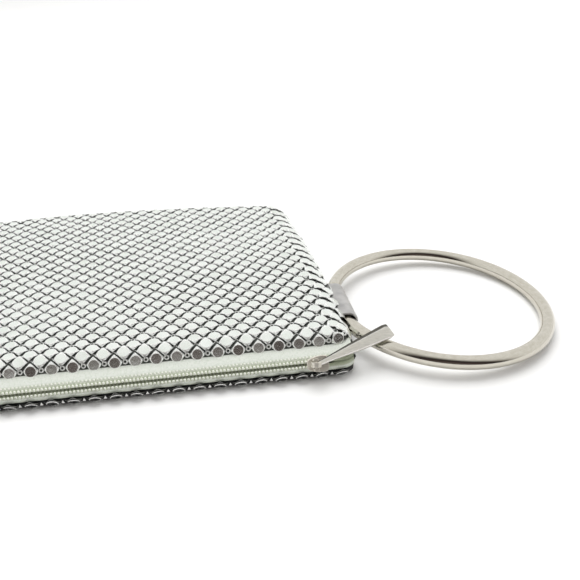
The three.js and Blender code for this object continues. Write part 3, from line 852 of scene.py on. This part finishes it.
def hem_plates(rng):
    """The lower face's first row, which flares forward under the zip. Its faces are dark metal: painted shade
    for the shadowed floor they mirror.
    """
    x = HEM_PHASE + PLATE_PITCH * np.arange(-HEM_HALF_COUNT, HEM_HALF_COUNT + 1)
    x = x[np.abs(x) < TAPE_END - HEM_END_CLEAR]
    zero = np.zeros(len(x))
    slope = (front_drop(x + HEM_SLOPE_REACH) - front_drop(x - HEM_SLOPE_REACH)) / (2 * HEM_SLOPE_REACH)
    along = unit(np.stack([zero + 1, slope, zero], axis=-1))
    out = np.stack([along[:, 1], -along[:, 0], zero], axis=-1)
    normal = out * math.sin(HEM_LEAN) + np.array([0, 0, math.cos(HEM_LEAN)])
    places = np.stack([x, HEM_Y + front_drop(x), zero + HEM_Z], axis=-1)
    frames = wobble(frames_from(normal, along), rng, HEM_WOBBLE)
    piece = copies("plates_hem", plate_template(), places, frames, [HEM_SHADE_FACE, RIM_HIGHLIGHT, HEM_SHADE_FACE, EDGE_SHADE])
    dress(piece, "purse", "mesh", "mesh_body")
    between = (places[:-1] + places[1:]) / 2 + HEM_LINK_OFFSET
    piece = copies("links_hem", corner_template(), between, frames_from(out[:-1], along[:-1]), [LINK_HIGHLIGHT])
    dress(piece, "purse", "mesh", "mesh_body")


def hem_band():
    """The near-black band that closes the front under the lower tape; its black is painted shade in the gap
    there.
    """
    xs = end_crowded(TAPE_END, TAPE_SEGMENTS)
    points = [(x, y + drop, z) for x, drop in zip(xs, front_drop(xs)) for y, z in HEM_PROFILE]
    piece = make_mesh("hem_band", points, tube_faces(len(xs), len(HEM_PROFILE)), [HEM_GAP_SHADE])
    dress(piece, "purse", "mesh", "mesh_body")


def lining():
    """The dark cloth close under both faces; its near-black is partly the lining's own colour and partly
    painted shade for the gaps between the plates.
    """
    points, faces = [], []
    for upper in (True, False):
        grid = surface(upper, LINING_INSET)
        made = grid_faces(*grid.shape[:2])
        faces += shifted(made if upper else [face[::-1] for face in made], len(points))
        points.extend(grid.reshape(-1, 3))
    piece = make_mesh("lining", points, faces, [LINING_AND_GAP_SHADE], smooth=True)
    dress(piece, "purse", "mesh", "mesh_body")


# Zip
def tape_strip(name, path, away, width):
    """A woven tape that bends round the front corners. Past the zip's ends the two tapes close the groove."""
    along = np.linspace(0, width, TAPE_STEPS)
    y, z, turn = path(along)
    out_y, out_z = -np.cos(turn) * TAPE / 2, np.sin(turn) * TAPE / 2
    front = list(zip(y + out_y, z + out_z))
    back = list(zip(y - out_y, z - out_z))
    outline = front + back[::-1]
    from_groove = np.concatenate([along, along[::-1]])
    near = np.clip(1 - from_groove / SHUT_DEPTH, 0, 1) * away * TAPE_GROOVE * SHUT_SHARE
    xs = end_crowded(TAPE_END, TAPE_SEGMENTS)
    shut = np.clip((np.abs(xs) - ZIP_LENGTH / 2 + 1) / 2, 0, 1)
    edge_y, edge_z = math.sin(turn[0]), math.cos(turn[0])
    points = [
        (x, oy + drop - edge_y * n * s, oz - edge_z * n * s)
        for x, drop, s in zip(xs, front_drop(xs), shut) for (oy, oz), n in zip(outline, near)
    ]
    piece = make_mesh(name, points, tube_faces(TAPE_SEGMENTS, len(outline)), [CLOTH])
    dress(piece, "purse", "tape", "zip_" + name)


def bead_template(size):
    """A small pressed oval, its long side across the zip."""
    rings, sides = 3, 8
    points = [(0, 0, size[2])]
    for i in range(1, rings + 1):
        fall = i * math.pi / 2 / rings
        for k in range(sides):
            turn = 2 * math.pi * k / sides
            x, y = math.sin(fall) * math.cos(turn), math.sin(fall) * math.sin(turn)
            points.append((size[0] * x, size[1] * y, size[2] * math.cos(fall)))
    faces = crowned_faces(rings, sides)
    return points, faces, [0] * len(faces)


def stitch_row(path, target, name, along, size, phase, slant):
    y, z, turn = path(along)
    out = np.array([0, -math.cos(turn), math.sin(turn)])
    up = np.array([0, math.sin(turn), math.cos(turn)])
    xs = np.arange(-ZIP_LENGTH / 2 + 1 + phase, ZIP_LENGTH / 2 - 1, STITCH_PITCH)
    centres = np.stack([xs, np.full(len(xs), y), np.full(len(xs), z)], axis=-1) + out * TAPE / 2
    e1 = unit(np.array([1.0, 0, 0]) + up * slant)
    frames = np.tile(np.stack([e1, np.cross(out, e1), out]), (len(xs), 1, 1))
    piece = copies(name, bead_template(size), centres, frames, [THREAD], True)
    dress(piece, "purse", "tape", target)


def zip_pieces():
    tape_strip("tape_upper", upper_tape, 1, UPPER_TAPE_WIDTH)
    tape_strip("tape_lower", lower_tape, -1, LOWER_TAPE_WIDTH)
    for row in UPPER_STITCHES:
        stitch_row(upper_tape, "zip_tape_upper", *row)
    for row in LOWER_STITCHES:
        stitch_row(lower_tape, "zip_tape_lower", *row)


# Ring handle and its strip
def ring_points(local):
    """Points from the ring's own axes to the part's."""
    return np.asarray(local, float) @ np.stack([ring_across, np.array([0, 1.0, 0]), ring_up]) + ring_centre


def ring_handle():
    points, faces = torus(RING_RADIUS, TUBE_RADIUS, RING_TURNS, RING_SIDES)
    piece = make_mesh("ring", ring_points(points), faces, [NICKEL], smooth=True)
    dress(piece, "ring", "ring", "ring_handle")


def strip_piece():
    """The strip, folded round the tube in a flat loop with bevelled edges."""
    room = TUBE_RADIUS + GAP
    left = -RING_RADIUS - room
    right = -math.sqrt((RING_RADIUS - TUBE_RADIUS) ** 2 - (STRIP_WIDTH / 2) ** 2) + STRIP_PAST_TUBE
    t = STRIP_SEEN / 2
    middle = room + t
    path = []
    for centre, start in ((right - room, -math.pi / 2), (left + room, math.pi / 2)):
        for turn in np.linspace(start, start + math.pi, STRIP_TURN_STEPS + 1):
            path.append((centre + middle * math.cos(turn), middle * math.sin(turn)))
    path = np.array(path)
    ahead = np.roll(path, -1, axis=0) - np.roll(path, 1, axis=0)
    normal = unit(np.stack([ahead[:, 1], -ahead[:, 0]], axis=-1))
    w, b = STRIP_WIDTH / 2, STRIP_BEVEL
    section = [
        (-w, -t + b), (-w + b, -t), (w - b, -t), (w, -t + b),
        (w, t - b), (w - b, t), (-w + b, t), (-w, t - b),
    ]
    points = [
        (place[0] + out[0] * lift, y, place[1] + out[1] * lift)
        for place, out in zip(path, normal) for y, lift in section
    ]
    faces = grid_faces(len(path), len(section), (True, True), flip=True)
    piece = make_mesh("strip_fold", ring_points(points), faces, [STRIP_LEATHER])
    dress(piece, "purse", "strip", "ring_tab")


# Slider and pull
def pull_frame():
    """The pull's place on the pin, and its axes at rest with its tip on the ring."""
    lean = PULL_THICKNESS / 2 + PULL_TIP_WIDTH / 2 * math.sin(PULL_TWIST)
    rest = ring_centre + ring_across * RING_RADIUS * math.cos(PULL_REST_TURN)
    rest = rest + np.array([0, RING_RADIUS * math.sin(PULL_REST_TURN), 0])
    rest = rest + ring_up * (TUBE_RADIUS + GAP + lean)
    pivot = np.array([SLIDER_X, ZIP_Y, ZIP_Z]) + zip_out * PIN_OUT
    along = unit(rest - pivot)
    level = unit(np.cross([0, 0, 1.0], along))
    level = level * math.cos(PULL_TWIST) + np.cross(along, level) * math.sin(PULL_TWIST)
    return pivot, np.stack([along, level, np.cross(along, level)])


def pull_bar():
    """The tapered bar with a wide bevel on its far side in near-black painted shade, a painted highlight
    along two edges, and a cut-off bevelled tip.
    """
    pivot, axes = pull_frame()
    points = []
    for share, width, thick in PULL_SECTIONS:
        w = max(width * PULL_TIP_WIDTH, PULL_ROOT_WIDTH) / 2
        t = thick * PULL_THICKNESS / 2
        b = min(PULL_BEVEL, w * 0.5)
        e = PULL_EDGE
        section = [
            (-w + e, -t), (w - e, -t), (w, -t + e), (w, t - PULL_BEVEL_DROP * thick), (w - b, t),
            (w - b - PULL_RIDGE, t + PULL_RIDGE_RISE), (-w + 1.5 * e, t), (-w, t - 0.2), (-w, -t + e),
        ]
        points.extend((share * PULL_LENGTH, y, z) for y, z in section)
    sides = len(section)
    slots = [PULL_SLOTS.get(k, 0) for k in range(sides)] * (len(PULL_SECTIONS) - 1) + [0, 0]
    faces = tube_faces(len(PULL_SECTIONS), sides, flip=True)
    placed = np.array(points) @ axes + pivot
    piece = make_mesh("pull_bar", placed, faces, [PULL_FACE, PULL_BEVEL_SHADE, PULL_EDGE_HIGHLIGHT], slots)
    dress(piece, "pull", "cast", "zip_pull")


def pull_knuckle():
    """The pull's round eye on the pin."""
    pivot = pull_frame()[0]
    points = []
    for i in range(KNUCKLE_TURNS):
        turn = 2 * math.pi * i / KNUCKLE_TURNS
        ray = np.array([math.cos(turn), 0, 0]) + zip_out * math.sin(turn)
        points.extend(pivot + ray * radius + zip_up * height for radius, height in KNUCKLE_SECTION)
    faces = grid_faces(KNUCKLE_TURNS, len(KNUCKLE_SECTION), (True, True), flip=True)
    piece = make_mesh("pull_knuckle", points, faces, [CAST])
    dress(piece, "pull", "cast", "zip_pull")


def slider_body():
    """A rounded front plate with a narrower nose, and two ears with the pin across them."""
    outline = SLIDER_EDGE + [(x, -y) for x, y in reversed(SLIDER_EDGE)]
    points = [((x - 1) * k + 1, y * k, z) for k, z in SLIDER_LEVELS for x, y in outline]
    faces = tube_faces(len(SLIDER_LEVELS), len(outline), flip=True)
    for low in EAR_SIDES:
        faces += shifted(tube_faces(len(EAR_LEVELS), 4, flip=True), len(points))
        high = low + EAR_WIDTH
        for z, inset in EAR_LEVELS:
            reach = EAR_HALF_LENGTH - inset
            points += [(-reach, low, z), (reach, low, z), (reach, high, z), (-reach, high, z)]
    faces += shifted(tube_faces(2, PIN_SIDES), len(points))
    for y in (-PIN_REACH, PIN_REACH):
        for k in range(PIN_SIDES):
            turn = 2 * math.pi * k / PIN_SIDES
            points.append((PIN_RADIUS * math.cos(turn), y, PIN_OUT + PIN_RADIUS * math.sin(turn)))
    axes = np.stack([np.array([1.0, 0, 0]), zip_up, zip_out])
    placed = np.array(points) @ axes + np.array([SLIDER_X, ZIP_Y, ZIP_Z])
    piece = make_mesh("slider_body", placed, faces, [CAST])
    dress(piece, "purse", "cast", "zip_slider")


# Camera and light
def camera():
    data = bpy.data.cameras.new("camera")
    data.sensor_width = SENSOR_WIDTH
    data.lens = LENS
    data.shift_x, data.shift_y = CAMERA_SHIFT
    data.clip_start = CAMERA_CLIP
    obj = bpy.data.objects.new("camera", data)
    bpy.context.scene.collection.objects.link(obj)
    forward = Vector(CAMERA_FORWARD).normalized()
    up = Vector(CAMERA_RIGHT).cross(forward).normalized()
    right = forward.cross(up).normalized()
    matrix = Matrix((right, up, -forward)).transposed().to_4x4()
    matrix.translation = Vector(CAMERA_PLACE) * MM
    obj.matrix_world = matrix
    bpy.context.scene.camera = obj


def floor():
    size, z = FLOOR_HALF, -FLOOR_DROP
    points = [(-size, -size, z), (size, -size, z), (size, size, z), (-size, size, z)]
    material, tree, shader = new_material("floor_white", (0.93, 0.93, 0.93), 0.9)
    grain = noise(tree, object_coords(tree), 40, 2.0)
    paint(tree, shader, "Base Color", grain, [(0.3, grey(0.965)), (0.7, grey(0.975))])
    make_mesh("floor", points, [(0, 1, 2, 3)], [material])


def world():
    made = bpy.data.worlds.new("studio")
    bpy.context.scene.world = made
    made.use_nodes = True
    background = made.node_tree.nodes["Background"]
    background.inputs["Color"].default_value = (1.0, 1.0, 1.0, 1)
    background.inputs["Strength"].default_value = 1.0


def wall_material():
    """Bright walls, and an unlit part in front that gives the turned-down faces their dark."""
    material = bpy.data.materials.new("studio_walls")
    material.use_nodes = True
    tree = material.node_tree
    tree.nodes.remove(tree.nodes["Principled BSDF"])
    glow = node(tree, "ShaderNodeEmission")
    tree.links.new(glow.outputs["Emission"], tree.nodes["Material Output"].inputs["Surface"])
    split = node(tree, "ShaderNodeSeparateXYZ")
    tree.links.new(object_coords(tree, (1 / DOME, 1 / DOME, 1 / DOME)), split.inputs["Vector"])
    x, y, z = (split.outputs[k] for k in ("X", "Y", "Z"))
    bright = term(tree, "MULTIPLY_ADD", z, 0.45, term(tree, "MULTIPLY", y, 0.9))
    bright = term(tree, "MULTIPLY_ADD", term(tree, "MULTIPLY", x, x), 0.75, bright)
    color = ramp(tree, term(tree, "MULTIPLY_ADD", bright, 0.5, 0.5), DOME_TONES)
    tree.links.new(color, glow.inputs["Color"])
    return material


def studio_dome():
    """The room that the metal mirrors."""
    points = []
    for i in range(DOME_RINGS + 1):
        rise = math.radians(DOME_LOW + DOME_RISE * i / DOME_RINGS)
        for k in range(DOME_SIDES):
            turn = 2 * math.pi * k / DOME_SIDES
            points.append((math.cos(rise) * math.cos(turn), math.cos(rise) * math.sin(turn), math.sin(rise)))
    faces = grid_faces(DOME_RINGS + 1, DOME_SIDES, (False, True))
    dome = make_mesh("dome", np.array(points) * DOME / MM, faces, [wall_material()])
    dome.visible_camera = False


def key_light():
    """A soft light from behind and above, which the metal doesn't mirror."""
    data = bpy.data.lights.new("key", "AREA")
    data.shape = "RECTANGLE"
    data.size = KEY_SIZE
    data.size_y = KEY_SIZE
    data.energy = KEY_POWER
    obj = bpy.data.objects.new("key", data)
    bpy.context.scene.collection.objects.link(obj)
    obj.location = KEY_PLACE
    direction = Vector(KEY_TARGET) - Vector(KEY_PLACE)
    obj.rotation_euler = direction.to_track_quat("-Z", "Y").to_euler()
    obj.visible_glossy = False


def main():
    rng = np.random.default_rng(SEED)
    bpy.context.scene.view_settings.view_transform = "Standard"
    camera()
    floor()
    world()
    studio_dome()
    key_light()
    lining()
    mesh_face(True, UPPER_FIRST_ROW, rng)
    mesh_face(False, LOWER_FIRST_ROW, rng)
    edge_plates(rng)
    hem_plates(rng)
    hem_band()
    zip_pieces()
    ring_handle()
    strip_piece()
    pull_bar()
    pull_knuckle()
    slider_body()
    coil = frame["nodes"]["zip_coil"]
    coil.data.materials.clear()
    coil.data.materials.append(COIL_PAINTED_LIGHT)


main()
